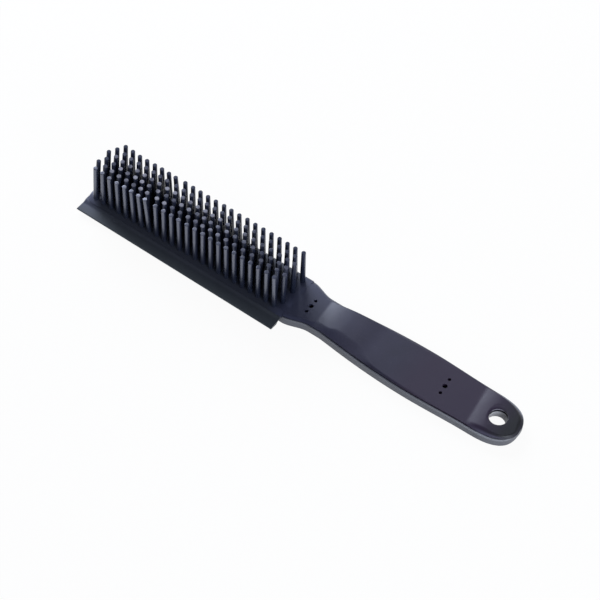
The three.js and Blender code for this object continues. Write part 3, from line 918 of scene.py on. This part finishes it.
def make_tines():
    bm = bmesh.new()
    for row in range(TINE_ROWS):
        y = row * ROW_PITCH - (TINE_ROWS - 1) / 2 * ROW_PITCH - ROWS_OFF_CENTRE
        station = TINE_FROM_FREE_END + (TINE_PITCH / 2 if row % 2 == 0 else 0.0)
        station += TINE_PITCH if row == TINE_ROWS - 1 else 0.0
        while station <= HEAD_LENGTH - TINE_FROM_NECK:
            column = station / TINE_PITCH
            lean = math.radians(tine_lean(row, column) + rng.uniform(-LEAN_SPREAD, LEAN_SPREAD))
            side_lean = math.radians(tine_side_lean(column) + rng.uniform(-LEAN_SPREAD, LEAN_SPREAD))
            add_tine(bm, station, y, lean, side_lean, turn=rng.uniform(0, math.tau))
            station += TINE_PITCH
    return piece_from("tines", bm, TINE_RUBBER, TINE_SHARP_ANGLE)


# Squeegee lip

def lip_section(reach):
    """Points (y, z) round the lip and its web: over the top, round the edge and back below."""
    wall = -HEAD_HALF
    inside = wall + LIP_WEB
    nose = LIP_EDGE_HALF
    edge = LIP_AXIS_Y - reach + nose
    root = wall - LIP_FILLET
    root_high = LIP_AXIS_Z + LIP_ROOT_HALF - LIP_ROOT_DROP
    root_low = LIP_AXIS_Z - LIP_ROOT_HALF
    points = [(inside, LIP_WEB_TOP)]
    points += [(wall + along, LIP_WEB_TOP - drop) for along, drop in LIP_WEB_SHOULDER]
    start_y, start_z = wall + LIP_FILLET_START[0], LIP_WEB_TOP - LIP_FILLET_START[1]
    for i in range(LIP_FILLET_STEPS):
        share = (i + 0.5) / LIP_FILLET_STEPS
        points.append((mix(start_y, root, share), mix(start_z, root_high, smooth(share))))
    shares = [i / LIP_FACE_STEPS for i in range(1, LIP_FACE_STEPS)]
    points += [(mix(root, edge, share), mix(root_high, LIP_AXIS_Z + nose, share)) for share in shares]
    points += [(edge + along, LIP_AXIS_Z + up) for along, up in arc(nose, 90, 270, LIP_NOSE_STEPS)]
    points += [(mix(edge, wall, share), mix(LIP_AXIS_Z - nose, root_low, share)) for share in shares]
    return points + [(wall, root_low), (wall + LIP_WEB_FOOT, LIP_WEB_SEAT), (inside, LIP_WEB_SEAT)]


def lip_ring(station):
    """The lip at a station; its root is drawn in at the neck and its edge reaches on at the free end."""
    reach = mix(LIP_REACH_AT_FREE_END, LIP_REACH_AT_NECK, station / HEAD_LENGTH)
    wall = -HEAD_HALF
    root_top = LIP_AXIS_Z + LIP_ROOT_HALF
    at_neck = smooth((station - LIP_END + LIP_NECK_EASE) / LIP_NECK_EASE)
    at_free_end = 1 - smooth(station / LIP_FREE_END_EASE)
    ring = []
    for y, z in lip_section(reach):
        low = clamp((root_top - z) / (2 * LIP_ROOT_HALF))
        low *= clamp((y - wall + LIP_PULL_WIDTH) / LIP_PULL_WIDTH)
        out = clamp((wall - y) / reach) * at_free_end
        ring.append(at(station - LIP_ROOT_PULL * low * at_neck - LIP_EDGE_PAST * out, y, z))
    return ring


def make_lip():
    neck_start = LIP_END - LIP_NECK_EASE
    stations = LIP_FIRST_STATIONS + spread(LIP_BODY_START, neck_start, LIP_STEPS)
    stations += spread(neck_start, LIP_END, LIP_NECK_STEPS) + [LIP_END]
    bm = bmesh.new()
    cap_ends(bm, add_loops(bm, [lip_ring(station) for station in stations]))
    return piece_from("squeegee_lip", bm, LIP_RUBBER)


# The pieces, what they ride on and what they replace

shell = make_shell()
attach(shell, "handle")
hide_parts("back_shell")

liner = make_liner()
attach(liner, "handle")
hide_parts("back_shell")

upper = make_upper()
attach(upper, "handle")
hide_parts("grip_cover", "tine_pad")

tines = make_tines()
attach(tines, "handle")
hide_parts("tine_pad")

lip = make_lip()
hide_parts("squeegee_blade")
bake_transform(lip)

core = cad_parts["core_spine"]
core.data.materials.clear()
core.data.materials.append(CORE_PLASTIC)


# Studio: a pale floor, soft light and a white surround, in metres

WHITE = (1, 1, 1, 1)
FLOOR_HALF = 3.0
FLOOR_HEIGHT = -0.0002
FLOOR_WHITENESS = 0.94
FIBRE_RANGE = (0.3, 0.7)
FIBRE_COLOURS = ((0.86, 0.86, 0.86, 1), (0.9, 0.9, 0.9, 1))
SURROUND_COLOUR = (0.9, 0.93, 1.0, 1)
SURROUND_STRENGTH = 0.2


def make_floor():
    """Paper that takes soft shadows, and that is near white in the picture and in reflections."""
    bm = bmesh.new()
    corners = ((-1, -1), (1, -1), (1, 1), (-1, 1))
    bm.faces.new([bm.verts.new((x * FLOOR_HALF, y * FLOOR_HALF, FLOOR_HEIGHT)) for x, y in corners])
    nodes = Nodes("floor_paper")
    paper = nodes.add("ShaderNodeBsdfDiffuse")
    fibre = nodes.ramp(nodes.noise(*PAPER_FIBRE), FIBRE_RANGE, FIBRE_COLOURS)
    nodes.link(fibre, paper.inputs["Color"])
    glow = nodes.add("ShaderNodeEmission")
    glow.inputs["Color"].default_value = WHITE
    glow.inputs["Strength"].default_value = 1.0
    path = nodes.add("ShaderNodeLightPath")
    seen = nodes.add("ShaderNodeMath", operation="MULTIPLY")
    nodes.link(path.outputs["Is Camera Ray"], seen.inputs[0])
    seen.inputs[1].default_value = FLOOR_WHITENESS
    white = nodes.add("ShaderNodeMath", operation="MAXIMUM")
    nodes.link(seen.outputs[0], white.inputs[0])
    nodes.link(path.outputs["Is Glossy Ray"], white.inputs[1])
    blend = nodes.add("ShaderNodeMixShader")
    nodes.link(white.outputs[0], blend.inputs["Fac"])
    nodes.link(paper.outputs[0], blend.inputs[1])
    nodes.link(glow.outputs[0], blend.inputs[2])
    nodes.link(blend.outputs[0], nodes.output.inputs["Surface"])
    floor = piece_from("floor", bm, nodes.material)


def make_light(name, place, target, size, power, colour=(1, 1, 1)):
    data = bpy.data.lights.new(name, "AREA")
    data.shape = "RECTANGLE"
    data.size, data.size_y = size
    data.energy = power
    data.color = colour
    light = bpy.data.objects.new(name, data)
    bpy.context.collection.objects.link(light)
    away = Vector(place) - Vector(target)
    turn = away.to_track_quat("Z", "Y").to_matrix().to_4x4()
    light.matrix_world = Matrix.Translation(Vector(place)) @ turn


def make_world():
    world = bpy.data.worlds.new("surround")
    bpy.context.scene.world = world
    world.use_nodes = True
    tree = world.node_tree
    tree.nodes.clear()
    output = tree.nodes.new("ShaderNodeOutputWorld")
    light = tree.nodes.new("ShaderNodeBackground")
    light.inputs["Color"].default_value = SURROUND_COLOUR
    light.inputs["Strength"].default_value = SURROUND_STRENGTH
    seen = tree.nodes.new("ShaderNodeBackground")
    seen.inputs["Color"].default_value = WHITE
    seen.inputs["Strength"].default_value = 1.0
    path = tree.nodes.new("ShaderNodeLightPath")
    blend = tree.nodes.new("ShaderNodeMixShader")
    tree.links.new(path.outputs["Is Camera Ray"], blend.inputs["Fac"])
    tree.links.new(light.outputs[0], blend.inputs[1])
    tree.links.new(seen.outputs[0], blend.inputs[2])
    tree.links.new(blend.outputs[0], output.inputs["Surface"])


make_floor()
make_world()
make_light("key_left", place=(-1.13, 0.68, 0.75), target=(-0.02, 0.0, 0.0), size=(1.05, 0.75),
           power=28.0, colour=(0.84, 0.89, 1.0))
make_light("back", place=(-0.25, 0.9, 0.3), target=(0.0, 0.0, 0.0), size=(1.0, 0.35), power=2.0)
make_light("fill_right", place=(0.9, -0.42, 0.4), target=(0.0, 0.0, 0.0), size=(0.6, 0.5),
           power=7.0, colour=(0.9, 0.94, 1.0))
bpy.context.scene.view_settings.view_transform = "Standard"
